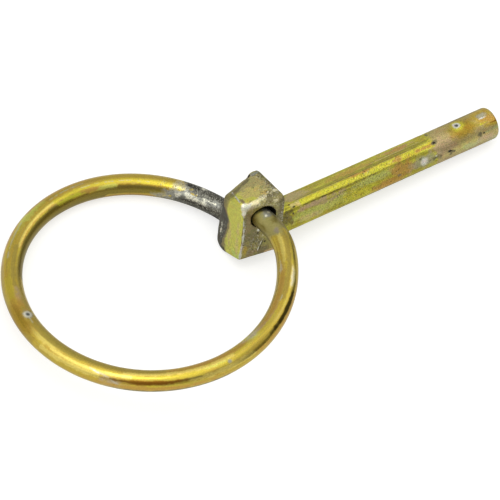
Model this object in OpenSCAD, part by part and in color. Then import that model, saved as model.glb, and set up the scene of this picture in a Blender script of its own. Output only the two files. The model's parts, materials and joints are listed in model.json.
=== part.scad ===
// Lynch pin: a forged steel pin whose sprung wire ring snaps over the shank.
// The origin is on the shank's axis at the head's shoulder. The shank points
// along +X, the tall side of the head is up, and the front face looks along -Y.

/* [Shank] */
// Diameter of the shank's plain round end
shank_d = 6.35; // [5.5:0.05:7.5]
// Growth in diameter from the plain round end back to the shoulder
root_growth = 0.3; // [0.1:0.05:0.5]
// Length of the shank from the head's shoulder to its tip
shank_l = 53; // [48:0.2:70]
// Rounding of the edge round the tip
tip_round = 0.6; // [0.2:0.1:1.5]
// Fillet between the shank and the head's shoulder
neck_fillet = 0.5; // [0.2:0.1:0.9]

/* [Forged flats] */
// Depth of each of the four flats below the plain round end
flat_depth = 0.48; // [0.2:0.01:0.65]
// Distance from the shoulder to the start of the flats
flat_start = 1.5; // [1:0.1:3]
// Distance from the shoulder to where the flats begin to run out
flat_end = 35; // [25:0.5:38]
// Radius of the short run-in beside the head
run_in_r = 1.6; // [1:0.2:4]
// Radius of the long run-out towards the tip
run_out_r = 20; // [8:1:40]
// Turn of the flats about the shank's axis, in degrees
flat_turn = -18; // [-45:1:45]

/* [Head] */
// Length of the head from its end face to the shoulder
head_l = 8.6; // [8:0.1:12]
// Width of the head at its end face
end_w = 6.3; // [5.6:0.1:8]
// Width of the head at the shoulder
shoulder_w = 9.9; // [9:0.1:12]
// Height of the head at its end face
end_h = 13.8; // [13:0.1:16]
// Height of the head at the shoulder
shoulder_h = 13.6; // [13:0.1:16]
// Drop of the end face's lower edge below the underside of the shank
end_drop = 0.4; // [0.1:0.05:0.8]
// Rise of the shoulder's lower edge above the underside of the shank
shoulder_rise = 0.05; // [0:0.05:0.3]
// Drop of the end face's upper edge from the front to the back
top_skew = 0.9; // [0:0.1:1.5]
// Drop of the end face's lower edge from the front to the back
low_skew = 1.3; // [0:0.1:1.6]
// Bulge of the end face past its width, on the lower half of its back edge
end_bulge = 0.95; // [0:0.05:1.2]
// Rounding of the long upper edge at the front
top_front_r = 1.45; // [0.5:0.05:2]
// Rounding of the long upper edge at the back
top_back_r = 1.7; // [0.5:0.05:2.4]
// Rounding of the long lower edge at the front
low_front_r = 0.7; // [0.4:0.05:1.8]
// Rounding of the long lower edge at the back, at the end face
end_back_r = 2.1; // [1:0.1:2.4]
// Rounding of the long lower edge at the back, at the shoulder
shoulder_back_r = 1.3; // [0.4:0.05:1.8]
// Bevel round the end face and round the shoulder
head_bevel = 0.3; // [0.1:0.05:0.35]

/* [Ring] */
// Diameter of the ring's wire
wire_d = 4.1; // [3.6:0.05:4.4]
// Diameter of the ring's round part, measured at the middle of the wire
ring_d = 52; // [46:0.2:60]
// Bend radius where the wire turns in towards the head
bend_r = 16; // [8:0.5:17]
// Distance from the middle of the ring to where the wire runs straight
straight_y = 4.7; // [4.5:0.1:5.5]
// Shift of the ring towards the front
ring_shift = 1.9; // [0:0.1:2]
// Angle that the ring hangs down by, when its far side rests on the ground
droop = 4.3; // [2:0.1:8]
// Gap from the middle plane of the head to each end of the wire
end_gap = 0.8; // [0.5:0.1:1.4]
// Bevel on the ends of the wire
wire_bevel = 0.5; // [0.2:0.1:1]

/* [Hinge] */
// Distance from the shoulder back to the axis that the ring swings about
hinge_back = 4.3; // [3.6:0.1:4.8]
// Steel left below the lower hole
web_below = 0.35; // [0.2:0.05:0.6]
// Height between the wire's two ends, which sit in separate holes
stagger = 7; // [6.4:0.1:7.4]
// Difference between the diameters of a hole and the wire
hole_clear = 0.9; // [0.7:0.05:1]
// Height of a hole's middle above the middle of the wire hanging in it
hole_lift = 0.1; // [0:0.05:0.15]
// Clearance between the end of the wire and the bottom of its hole
hole_end_clear = 0.3; // [0.1:0.05:0.4]
// Angle of the drill's point
drill_point = 118; // [90:2:140]

/* [Hidden] */

// Roundness of the exact circles and of those inside a hull
fine = 96;
coarse = 32;
// Steps along the curve at each end of a flat
run_steps = 6;

// Sides round the swept wire, and steps along its round part and each bend
wire_sides = 22;
arc_steps = 104;
bend_steps = 10;

// Heights of the head's edges, measured from the shank's axis
end_low = -(shank_d / 2 + end_drop);
shoulder_low = -(shank_d / 2 - shoulder_rise);
end_top = end_low + end_h;
shoulder_top = shoulder_low + shoulder_h;
slab = 0.02;

// The shank's root runs this far into the head, where it dies into its underside
root_l = head_l * 0.65;

// The shank is a plain cylinder past the flats, and swells evenly from there back
flat_floor = shank_d / 2 - flat_depth;
run_out_l = sqrt(2 * run_out_r * flat_depth - flat_depth * flat_depth);
plain_x = flat_end + run_out_l;
neck_r = (shank_d + root_growth) / 2;
root_r = shank_d / 2 + root_growth / 2 * (plain_x + root_l) / plain_x;

// Holes for the wire: the lower one stands on its web, the upper one a stagger above
hole_d = wire_d + hole_clear;
hinge_x = -hinge_back;
hinge_h = head_low(hinge_x) + web_below + hole_d / 2 - hole_lift + stagger / 2;
hole_end = end_gap - hole_end_clear;

// Ring: half angle of each bend, end of the round part, and where its centre lies
wire_r = wire_d / 2;
ring_r = ring_d / 2;
bend_a = asin(straight_y / (ring_r - bend_r));
arc_a = 180 - bend_a;
bend_l = bend_r * bend_a * PI / 180;
centre_x = -(bend_r * (1 - cos(bend_a)) + ring_r * cos(bend_a));

// The ring is one turn of an open coil. Its rise, and its slope where it bends
coil_rise = (stagger / 2) / (arc_a * PI / 180 - 2 * sin(arc_a)
    + (1 - 2 * cos(arc_a)) * bend_l / ring_d);
coil_slope = coil_rise * (1 - 2 * cos(arc_a)) / ring_r;

// The sweep's corners stand out a little, so that its section has the wire's area.
// The exact ends are this much thinner, and reach this far into the sweep
corner_r = wire_r * sqrt(2 * PI / (wire_sides * sin(360 / wire_sides)));
end_thin = 0.02;
end_lap = 0.4;

// Share of the way from the end face to the shoulder
function share(x) = (x + head_l) / head_l;
// Half width, lower edge and upper edge of the head at a distance along it
function head_half(x) = (end_w + (shoulder_w - end_w) * share(x)) / 2;
function head_low(x) = end_low + (shoulder_low - end_low) * share(x);
function head_top(x) = end_top + (shoulder_top - end_top) * share(x);

// Point of the round part at an angle from the far side, positive to the front
function arc_point(a) = [
    centre_x - ring_r * cos(a),
    -ring_r * sin(a) - ring_shift,
    coil_rise * (a * PI / 180 - 2 * sin(a))
];

// Point of a bend: side is 1 at the front and -1 at the back, and t runs from 0
// at the round part to 1 at the straight end
function bend_point(side, t) = [
    -bend_r * (1 - cos(bend_a * (1 - t))),
    -side * (straight_y + bend_r * sin(bend_a * (1 - t))) - ring_shift,
    side * (stagger / 2 - coil_slope * bend_l * (1 - t) * (1 - t) / 2)
];

// The path of the wire, from the back hole round to the front hole
path = concat(
    [for (i = [bend_steps : -1 : 1]) bend_point(-1, i / bend_steps)],
    [for (i = [0 : arc_steps]) arc_point(arc_a * (2 * i / arc_steps - 1))],
    [for (i = [1 : bend_steps]) bend_point(1, i / bend_steps)]
);

function unit(v) = v / norm(v);

// Direction of the path at one of its points. Both ends run along the hinge
function heading(p, i) = i == 0 || i == len(p) - 1
    ? [0, 1, 0]
    : unit(p[i + 1] - p[i - 1]);

// Ring of corners round the path at one of its points
function wire_section(p, i) =
    let (along = heading(p, i))
    let (out = unit(cross(along, [0, 0, 1])))
    let (up = cross(out, along))
    [for (k = [0 : wire_sides - 1])
        let (a = 360 * k / wire_sides)
        p[i] + corner_r * (cos(a) * out + sin(a) * up)];

// Solid swept along the path of the wire
module swept_wire(p) {
    last = len(p) - 1;
    n = wire_sides;
    corners = [for (i = [0 : last]) each wire_section(p, i)];
    sides = [
        for (i = [0 : last - 1])
        for (k = [0 : n - 1])
        let (a = i * n + k, b = i * n + (k + 1) % n)
        each [[a, b, b + n], [a, b + n, a + n]]
    ];
    first_cap = [for (k = [n - 1 : -1 : 0]) k];
    last_cap = [for (k = [0 : n - 1]) last * n + k];
    polyhedron(points = corners, faces = concat([first_cap], sides, [last_cap]), convexity = 4);
}

// Straight end of the wire, standing on its bevelled tip
module wire_end(length) {
    r = wire_r - end_thin;
    rotate_extrude($fn = fine)
        polygon([
            [0, 0],
            [r - wire_bevel, 0],
            [r, wire_bevel],
            [r, length],
            [0, length]
        ]);
}

// Half section of the shank, standing on its root
module shank_section() {
    full_l = root_l + shank_l;
    polygon([
        [0, 0],
        [root_r, 0],
        [shank_d / 2, root_l + plain_x],
        [shank_d / 2, full_l - tip_round],
        [0, full_l - tip_round]
    ]);
    square([shank_d / 2 - tip_round, full_l]);
    translate([shank_d / 2 - tip_round, full_l - tip_round])
        circle(r = tip_round, $fn = fine);
}

// Space that one forged flat takes from the shank, on its +Z side
module flat_cut() {
    deep = neck_r - flat_floor;
    run_in_l = sqrt(2 * run_in_r * deep - deep * deep);
    run_in_a = acos(1 - deep / run_in_r);
    run_out_a = acos(1 - flat_depth / run_out_r);
    over = shank_d / 4;
    profile = concat(
        [for (i = [run_steps : -1 : 0])
            let (a = run_in_a * i / run_steps)
            [flat_start + run_in_l - run_in_r * sin(a), flat_floor + run_in_r * (1 - cos(a))]],
        [for (i = [0 : run_steps])
            let (a = run_out_a * i / run_steps)
            [flat_end + run_out_r * sin(a), flat_floor + run_out_r * (1 - cos(a))]],
        [[plain_x + run_out_l, shank_d / 2 + over], [flat_start, shank_d / 2 + over]]
    );
    translate([0, shank_d, 0])
        rotate([90, 0, 0])
            linear_extrude(height = 2 * shank_d)
                polygon(profile);
}

// Round shank with its four forged flats
module shank() {
    difference() {
        translate([-root_l, 0, 0])
            rotate([0, 90, 0])
                rotate_extrude($fn = fine)
                    shank_section();
        for (i = [0 : 3])
            rotate([90 * i + flat_turn, 0, 0])
                flat_cut();
    }
}

// Fillet round the shank, kept on the shoulder's face
module neck() {
    intersection() {
        rotate([0, 90, 0])
            rotate_extrude($fn = fine)
                difference() {
                    square([neck_r + neck_fillet, neck_fillet]);
                    translate([neck_r + neck_fillet, neck_fillet])
                        circle(r = neck_fillet, $fn = fine);
                }
        translate([0, -shoulder_w / 2, shoulder_low + head_bevel])
            cube([2 * neck_fillet, shoulder_w, shoulder_h]);
    }
}

// One cross-section of the head, drawn in by an inset all round. At the end face
// the back edge is lower than the front one, and its lower half bulges
module head_slice(x, inset, at_end) {
    half = head_half(x);
    low = head_low(x);
    top = head_top(x);
    back_top = top - at_end * top_skew;
    back_low = low - at_end * low_skew;
    back = half + at_end * end_bulge;
    back_r = at_end * end_back_r + (1 - at_end) * shoulder_back_r;
    for (c = [
        [-half + low_front_r, low + low_front_r, low_front_r],
        [-half + top_front_r, top - top_front_r, top_front_r],
        [half - top_back_r, back_top - top_back_r, top_back_r],
        [back - back_r, 0, back_r],
        [back - back_r, back_low + back_r, back_r]
    ])
        translate([x, c[0], c[1]])
            rotate([0, 90, 0])
                cylinder(r = c[2] - inset, h = slab, $fn = coarse);
}

// Tapered block of the head, narrow at its end face
module head_block() {
    hull() {
        head_slice(-head_l, head_bevel, 1);
        head_slice(-head_l + head_bevel, 0, 1);
        head_slice(-head_bevel, 0, 0);
        head_slice(-slab, head_bevel, 0);
    }
}

// Drilled hole for one end of the wire, opening towards +Z
module wire_hole() {
    point_l = hole_d / 2 / tan(drill_point / 2);
    cylinder(d = hole_d, h = shoulder_w, $fn = fine);
    translate([0, 0, -point_l])
        cylinder(d1 = 0, d2 = hole_d, h = point_l, $fn = fine);
}

module pin() {
    color([0.62, 0.6, 0.32])
        difference() {
            union() {
                head_block();
                shank();
                neck();
            }
            translate([hinge_x, -hole_end, hinge_h + stagger / 2 + hole_lift])
                rotate([90, 0, 0])
                    wire_hole();
            translate([hinge_x, hole_end, hinge_h - stagger / 2 + hole_lift])
                rotate([-90, 0, 0])
                    wire_hole();
        }
}

module ring() {
    front_l = straight_y + ring_shift - end_gap + end_lap;
    back_l = straight_y - ring_shift - end_gap + end_lap;
    color([0.74, 0.64, 0.3])
        translate([hinge_x, 0, hinge_h])
            rotate([0, -droop, 0]) {
                swept_wire(path);
                translate([0, -end_gap, stagger / 2])
                    rotate([90, 0, 0])
                        wire_end(front_l);
                translate([0, end_gap, -stagger / 2])
                    rotate([-90, 0, 0])
                        wire_end(back_l);
            }
}

pin();
ring();
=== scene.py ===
# Lynch pin in yellow-passivated zinc: a forged steel pin with a block head, and the
# sprung wire ring that swings over it. Everything lies in the CAD's own frame, in metres
# where no comment says mm.
import json
import math

import bpy
import numpy as np
from mathutils import Matrix, Quaternion, Vector


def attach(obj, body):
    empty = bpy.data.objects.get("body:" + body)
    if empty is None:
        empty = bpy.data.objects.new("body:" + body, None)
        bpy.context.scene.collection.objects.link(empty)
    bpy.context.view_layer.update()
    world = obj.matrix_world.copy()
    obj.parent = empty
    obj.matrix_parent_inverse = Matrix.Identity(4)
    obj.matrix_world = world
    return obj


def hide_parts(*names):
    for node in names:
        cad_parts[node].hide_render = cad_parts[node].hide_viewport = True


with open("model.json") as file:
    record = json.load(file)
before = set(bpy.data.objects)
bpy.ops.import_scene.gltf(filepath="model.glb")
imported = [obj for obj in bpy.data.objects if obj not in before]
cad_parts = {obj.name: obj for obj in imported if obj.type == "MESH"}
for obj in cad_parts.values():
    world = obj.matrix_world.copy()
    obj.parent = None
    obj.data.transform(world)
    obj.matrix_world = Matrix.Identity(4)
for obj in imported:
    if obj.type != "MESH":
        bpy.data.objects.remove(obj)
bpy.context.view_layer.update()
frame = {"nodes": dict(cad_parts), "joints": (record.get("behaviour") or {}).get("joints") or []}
MM = 0.001

# Sizes of the part as in the CAD, lengths in mm. The hinge lies halfway between the holes
HINGE = tuple(c / MM for c in frame["joints"][0]["pos_m"])
WIRE_D = 4.1
RING_D = 52.0
BEND_R = 16.0
STRAIGHT_Y = 4.7
RING_SHIFT = 1.9
STAGGER = 7.0
END_GAP = 0.8
END_BEVEL = 0.5
DROOP = math.radians(4.3)
HOLE_CLEAR = 0.9
HOLE_LIFT = 0.1
# Mean radius of the shank, on which its marks are unrolled
SHANK_R = 3.2

# ---------------------------------------------------------------- camera

# A long lens from far off, as the ring's wire looks equally thick near and far. The lens
# and its sensor are in mm
CAMERA_PLACE = (-2.01759022583, -2.37273496886, 2.82051728921)
CAMERA_TURN = (0.8728209, 0.3726873, -0.1580684, -0.2725845)
CAMERA_LENS = 1600
CAMERA_RANGE = (0.1, 20)
SENSOR_WIDTH = 36


def link(obj):
    bpy.context.scene.collection.objects.link(obj)
    return obj


def make_camera():
    data = bpy.data.cameras.new("camera")
    data.lens = CAMERA_LENS
    data.sensor_width = SENSOR_WIDTH
    data.clip_start, data.clip_end = CAMERA_RANGE
    camera = link(bpy.data.objects.new("camera", data))
    camera.rotation_mode = "QUATERNION"
    camera.rotation_quaternion = Quaternion(CAMERA_TURN)
    camera.location = CAMERA_PLACE
    bpy.context.scene.camera = camera


# ---------------------------------------------------------------- node trees

class Nodes:
    """Short ways to add nodes to one tree and join them up."""

    def __init__(self, tree):
        self.tree = tree
        tree.nodes.clear()

    def add(self, kind, inputs=None, **settings):
        node = self.tree.nodes.new(kind)
        for name, value in settings.items():
            setattr(node, name, value)
        for name, value in (inputs or {}).items():
            self.put(node.inputs[name], value)
        return node

    def put(self, socket, value):
        if isinstance(value, bpy.types.NodeSocket):
            self.tree.links.new(value, socket)
        else:
            socket.default_value = value

    def math(self, operation, a, b=0.0):
        return self.add("ShaderNodeMath", {0: a, 1: b}, operation=operation).outputs[0]

    def dot(self, a, b):
        return self.add("ShaderNodeVectorMath", {0: a, 1: b},
                        operation="DOT_PRODUCT").outputs["Value"]

    def ramp(self, value, low, high):
        """0 at low and 1 at high, with a smooth step between."""
        node = self.add("ShaderNodeMapRange", {"Value": value, "From Min": low, "From Max": high})
        node.interpolation_type = "SMOOTHSTEP"
        return node.outputs["Result"]

    def spread(self, value, low, high, to_low, to_high):
        """to_low at low and to_high at high, with a straight line between."""
        node = self.add("ShaderNodeMapRange", {"Value": value, "From Min": low, "From Max": high,
                                               "To Min": to_low, "To Max": to_high})
        return node.outputs["Result"]

    def mix(self, share, a, b, blend="MIX"):
        node = self.add("ShaderNodeMix", data_type="RGBA", blend_type=blend)
        self.put(node.inputs["Factor"], share)
        self.put(node.inputs[6], a)
        self.put(node.inputs[7], b)
        return node.outputs[2]

    def cover(self, colour, over, value, low, high, most=1.0, blend="MIX"):
        """colour with over laid on it, up to most, as value goes from low to high."""
        share = self.math("MULTIPLY", self.ramp(value, low, high), most)
        return self.mix(share, colour, over, blend)

    def attribute(self, name):
        return self.add("ShaderNodeAttribute", attribute_name=name).outputs["Fac"]

    def place(self):
        return self.add("ShaderNodeTexCoord").outputs["Object"]

    def noise(self, vector, scale, detail, rough, distort=0.0):
        node = self.add("ShaderNodeTexNoise",
                        {"Vector": vector, "Scale": scale, "Detail": detail,
                         "Roughness": rough, "Distortion": distort})
        return node.outputs["Fac"]

    def scaled(self, vector, scale, shift=(0.0, 0.0, 0.0)):
        node = self.add("ShaderNodeMapping", {"Vector": vector, "Scale": scale, "Location": shift})
        return node.outputs["Vector"]


def new_material(name):
    material = bpy.data.materials.new(name)
    material.use_nodes = True
    return material, Nodes(material.node_tree)


# ---------------------------------------------------------------- floor and studio

WHITE = (1, 1, 1, 1)
# Half the floor's width, and its paint
FLOOR_HALF = 1.5
FLOOR_PAINT = (0.55, 0.55, 0.54, 1)
# How much white the floor adds to its shaded grey: as seen, and as the metal shows it on
# the floor's bright side and on its dim one
FLOOR_WHITE = 0.62
FLOOR_IN_METAL = (0.31, 0.17)
# The way towards the dim side, and how far along it the white falls off
FLOOR_ACROSS = (0.5, 0.87, 0)
FLOOR_FALL = (-0.05, 0.02)


def floor_finish():
    material, n = new_material("pale floor")
    matt = n.add("ShaderNodeBsdfDiffuse", {"Color": FLOOR_PAINT})
    path = n.add("ShaderNodeLightPath")
    seen = n.math("MULTIPLY", path.outputs["Is Camera Ray"], FLOOR_WHITE)
    mirrored = n.math("ADD", path.outputs["Is Glossy Ray"], path.outputs["Is Transmission Ray"])
    falling = n.spread(n.dot(n.place(), FLOOR_ACROSS), *FLOOR_FALL, *FLOOR_IN_METAL)
    shine = n.math("ADD", seen, n.math("MULTIPLY", mirrored, falling))
    white = n.add("ShaderNodeEmission", {"Color": WHITE, "Strength": shine})
    both = n.add("ShaderNodeAddShader", {0: matt.outputs[0], 1: white.outputs[0]})
    n.add("ShaderNodeOutputMaterial", {"Surface": both.outputs[0]})
    return material


def make_floor(middle, normal):
    mesh = bpy.data.meshes.new("floor")
    turn = Vector((0, 0, 1)).rotation_difference(Vector(normal)).to_matrix()
    corners = [turn @ Vector((x * FLOOR_HALF, y * FLOOR_HALF, 0)) + Vector(middle)
               for x, y in ((-1, -1), (1, -1), (1, 1), (-1, 1))]
    mesh.from_pydata([tuple(c) for c in corners], [], [(0, 1, 2, 3)])
    mesh.materials.append(floor_finish())
    link(bpy.data.objects.new("floor", mesh))


# Where the part touches the floor: the shank's tip lies past TIP_X, the head's low corner
# within HEEL_X and HEEL_Y, and the ring's far back side past FAR_X and BACK_Y
TIP_X = 50 * MM
HEEL_X = (-10 * MM, -6 * MM)
HEEL_Y = 6 * MM
FAR_X = -30 * MM
BACK_Y = 10 * MM
# Room between the part and the floor
FLOOR_ROOM = 0.02 * MM


def lowest(points):
    return points[points[:, 2].argmin()].astype(float)


def rest_plane(points):
    """A point and the normal of the plane that the part rests on."""
    x, y = points[:, 0], points[:, 1]
    tip = lowest(points[x > TIP_X])
    heel = lowest(points[(x > HEEL_X[0]) & (x < HEEL_X[1]) & (abs(y) < HEEL_Y)])
    # of the planes through tip, heel and a point of the ring, the one that lies lowest at
    # the back has every other point of the ring above it
    ring = points[(x < FAR_X) & (y > BACK_Y)].astype(float)
    normals = np.cross(heel - tip, ring - tip)
    normals /= np.copysign(np.linalg.norm(normals, axis=1), normals[:, 2])[:, None]
    normal = normals[normals[:, 1].argmax()]
    under = ((points - tip) @ normal).min() - FLOOR_ROOM
    return tip + normal * under, normal


# Soft lights and dim corners of the studio: compass angle from +X towards +Y, height
# above the horizon, inner and outer reach in degrees, and brightness added
STUDIO_PATCHES = (
    ("main softbox", -136, 66, 8, 50, 0.62),
    ("left softbox", 178, 32, 6, 40, 0.52),
    ("right softbox", -14, 44, 4, 22, 0.55),
    ("ceiling", 0, 90, 5, 50, 0.20),
    ("dim camera side", -112, 16, 10, 38, -0.17),
    ("dim right side", -47, 4, 7, 25, -0.42),
    ("dim far right", 0, 2, 6, 28, -0.34),
)
STUDIO_LEVEL = 0.60
STUDIO_LEAST = 0.05


def make_world():
    """Soft studio light from all round, brighter towards its softboxes. It is seen as white."""
    world = bpy.data.worlds.new("studio")
    bpy.context.scene.world = world
    world.use_nodes = True
    n = Nodes(world.node_tree)
    way = n.add("ShaderNodeTexCoord").outputs["Generated"]
    level = STUDIO_LEVEL
    for _, compass, height, inner, outer, added in STUDIO_PATCHES:
        a, h = math.radians(compass), math.radians(height)
        aim = (math.cos(a) * math.cos(h), math.sin(a) * math.cos(h), math.sin(h))
        share = n.ramp(n.dot(way, aim), math.cos(math.radians(outer)),
                       math.cos(math.radians(inner)))
        level = n.math("ADD", level, n.math("MULTIPLY", share, added))
    level = n.math("MAXIMUM", level, STUDIO_LEAST)
    path = n.add("ShaderNodeLightPath")
    lit = n.add("ShaderNodeBackground", {"Color": WHITE, "Strength": level})
    white = n.add("ShaderNodeBackground", {"Color": WHITE, "Strength": 1.0})
    pick = n.add("ShaderNodeMixShader",
                 {0: path.outputs["Is Camera Ray"], 1: lit.outputs[0], 2: white.outputs[0]})
    n.add("ShaderNodeOutputWorld", {"Surface": pick.outputs[0]})


def make_lamp(name, place, aim, size, power):
    data = bpy.data.lights.new(name, "AREA")
    data.shape = "RECTANGLE"
    data.size, data.size_y = size
    data.energy = power
    lamp = link(bpy.data.objects.new(name, data))
    lamp.location = place
    lamp.rotation_euler = (Vector(aim) - Vector(place)).to_track_quat("-Z", "Y").to_euler()


# ---------------------------------------------------------------- meshes as numbers

def read_values(items, name, width=1):
    values = np.zeros(len(items) * width, np.float32)
    items.foreach_get(name, values)
    return values.reshape(-1, width) if width > 1 else values


def read_points(mesh):
    return read_values(mesh.vertices, "co", 3)


def read_normals(mesh):
    return read_values(mesh.vertices, "normal", 3)


def write_points(mesh, points):
    mesh.vertices.foreach_set("co", points.astype(np.float32).ravel())
    mesh.update()


def write_mask(mesh, name, values):
    layer = mesh.attributes.get(name) or mesh.attributes.new(name, "FLOAT", "POINT")
    layer.data.foreach_set("value", np.asarray(values, np.float32))


def plain_mesh(obj, name):
    """The mesh that the object's modifiers make. The object itself is removed."""
    graph = bpy.context.evaluated_depsgraph_get()
    mesh = bpy.data.meshes.new_from_object(obj.evaluated_get(graph), depsgraph=graph)
    bpy.data.objects.remove(obj)
    mesh.name = name
    return mesh


def neighbour_mean(mesh, values, rounds):
    """values averaged along the mesh's edges, a few times over."""
    edges = np.zeros(len(mesh.edges) * 2, np.int32)
    mesh.edges.foreach_get("vertices", edges)
    a, b = edges.reshape(-1, 2).T
    count = np.bincount(a, minlength=len(values)) + np.bincount(b, minlength=len(values))
    count = np.maximum(count, 1)
    mean = values.astype(np.float64)
    for _ in range(rounds):
        total = np.zeros_like(mean)
        for k in range(mean.shape[1]):
            total[:, k] = (np.bincount(a, mean[b, k], len(values))
                           + np.bincount(b, mean[a, k], len(values)))
        mean = total / count[:, None]
    return mean


def edge_height(mesh, points, normals, rounds):
    """How far each point stands out from the surface round it, in mm."""
    mean = neighbour_mean(mesh, points, rounds)
    return ((points - mean) * normals).sum(1) / MM


# ---------------------------------------------------------------- noise and marks

# Cells of the noise lattice before it repeats, and the gain that takes it to about -1 to 1
LATTICE = 64
NOISE_GAIN = 1.6
# How softly a dent's rim fades
DENT_SOFT = 0.6


def smooth_step(value, low, high):
    t = np.clip((value - low) / (high - low), 0, 1)
    return t * t * (3 - 2 * t)


def lattice_noise(points, seed):
    """Smooth gradient noise from about -1 to 1 at each point, repeatable for one seed."""
    rng = np.random.default_rng(seed)
    slopes = rng.normal(size=(LATTICE, LATTICE, LATTICE, 3)).astype(np.float32)
    slopes /= np.linalg.norm(slopes, axis=3, keepdims=True)
    cell = np.floor(points).astype(int)
    inside = (points - cell).astype(np.float32)
    blend = inside * inside * inside * (inside * (inside * 6 - 15) + 10)
    total = np.zeros(len(points), np.float32)
    for near in np.ndindex(2, 2, 2):
        corner = (cell + near) % LATTICE
        slope = slopes[corner[:, 0], corner[:, 1], corner[:, 2]]
        value = ((inside - np.array(near, np.float32)) * slope).sum(1)
        share = 1.0
        for axis in range(3):
            share = share * (blend[:, axis] if near[axis] else 1 - blend[:, axis])
        total += value * share
    return total * NOISE_GAIN


def rough_noise(points, size, octaves, seed):
    """Several sizes of noise added up. size is the length of the largest lumps, and each
    finer noise is half as large and half as strong."""
    total = 0
    strength = 1.0
    for i in range(octaves):
        total = total + strength * lattice_noise(points / size, seed + i)
        size /= 2
        strength /= 2
    return total


def spot(gap, reach, wobble, ragged, soft):
    """A mark, from the gaps to its middle: 1 within its reach, fading to 0 past its rim."""
    distance = np.sqrt(((gap / np.array(reach, np.float32)) ** 2).sum(1))
    return 1 - smooth_step(distance + ragged * wobble, 1 - soft, 1 + soft)


def streak(points, line, width, wobble, ragged, soft):
    """A mark of one width along a line of places."""
    best = np.full(len(points), np.inf, np.float32)
    for start, end in zip(line, line[1:]):
        start, end = np.array(start, np.float32), np.array(end, np.float32)
        run = end - start
        t = ((points - start) @ run / (run @ run)).clip(0, 1)
        gap = points - start - t[:, None] * run
        best = np.minimum(best, np.sqrt((gap ** 2).sum(1)))
    return 1 - smooth_step(best / width + ragged * wobble, 1 - soft, 1 + soft)


def new_masks(layers, count):
    """An empty mask for each colour of the layers, and one for specks."""
    names = [name for name, _ in layers] + ["speck"]
    return {name: np.zeros(count, np.float32) for name in names}


def lay(masks, colour, mask):
    masks[colour] = np.maximum(masks[colour], mask)


def add_marks(masks, points, marks, wobble, where=1.0, turn=None):
    """Lays spots and streaks into the masks. turn is one whole turn of the last direction,
    for marks that go round a wire."""
    for colour, place, reach, ragged, soft in marks:
        line = isinstance(place[0], tuple)
        near = points
        if turn:
            middle = place[0][-1] if line else place[-1]
            near = points.copy()
            near[:, -1] = middle + (points[:, -1] - middle + turn / 2) % turn - turn / 2
        if line:
            mark = streak(near, place, reach, wobble, ragged, soft)
        else:
            mark = spot(near - np.array(place, np.float32), reach, wobble, ragged, soft)
        lay(masks, colour, mark * where)


def dent_push(points, dents, wobble, ragged):
    """How far dents and burrs move each point out, in mm."""
    push = np.zeros(len(points), np.float32)
    for place, reach, height in dents:
        gap = points - np.array(place, np.float32)
        push += height * spot(gap, reach, wobble, ragged, DENT_SOFT)
    return push


# ---------------------------------------------------------------- the forged pin

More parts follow.
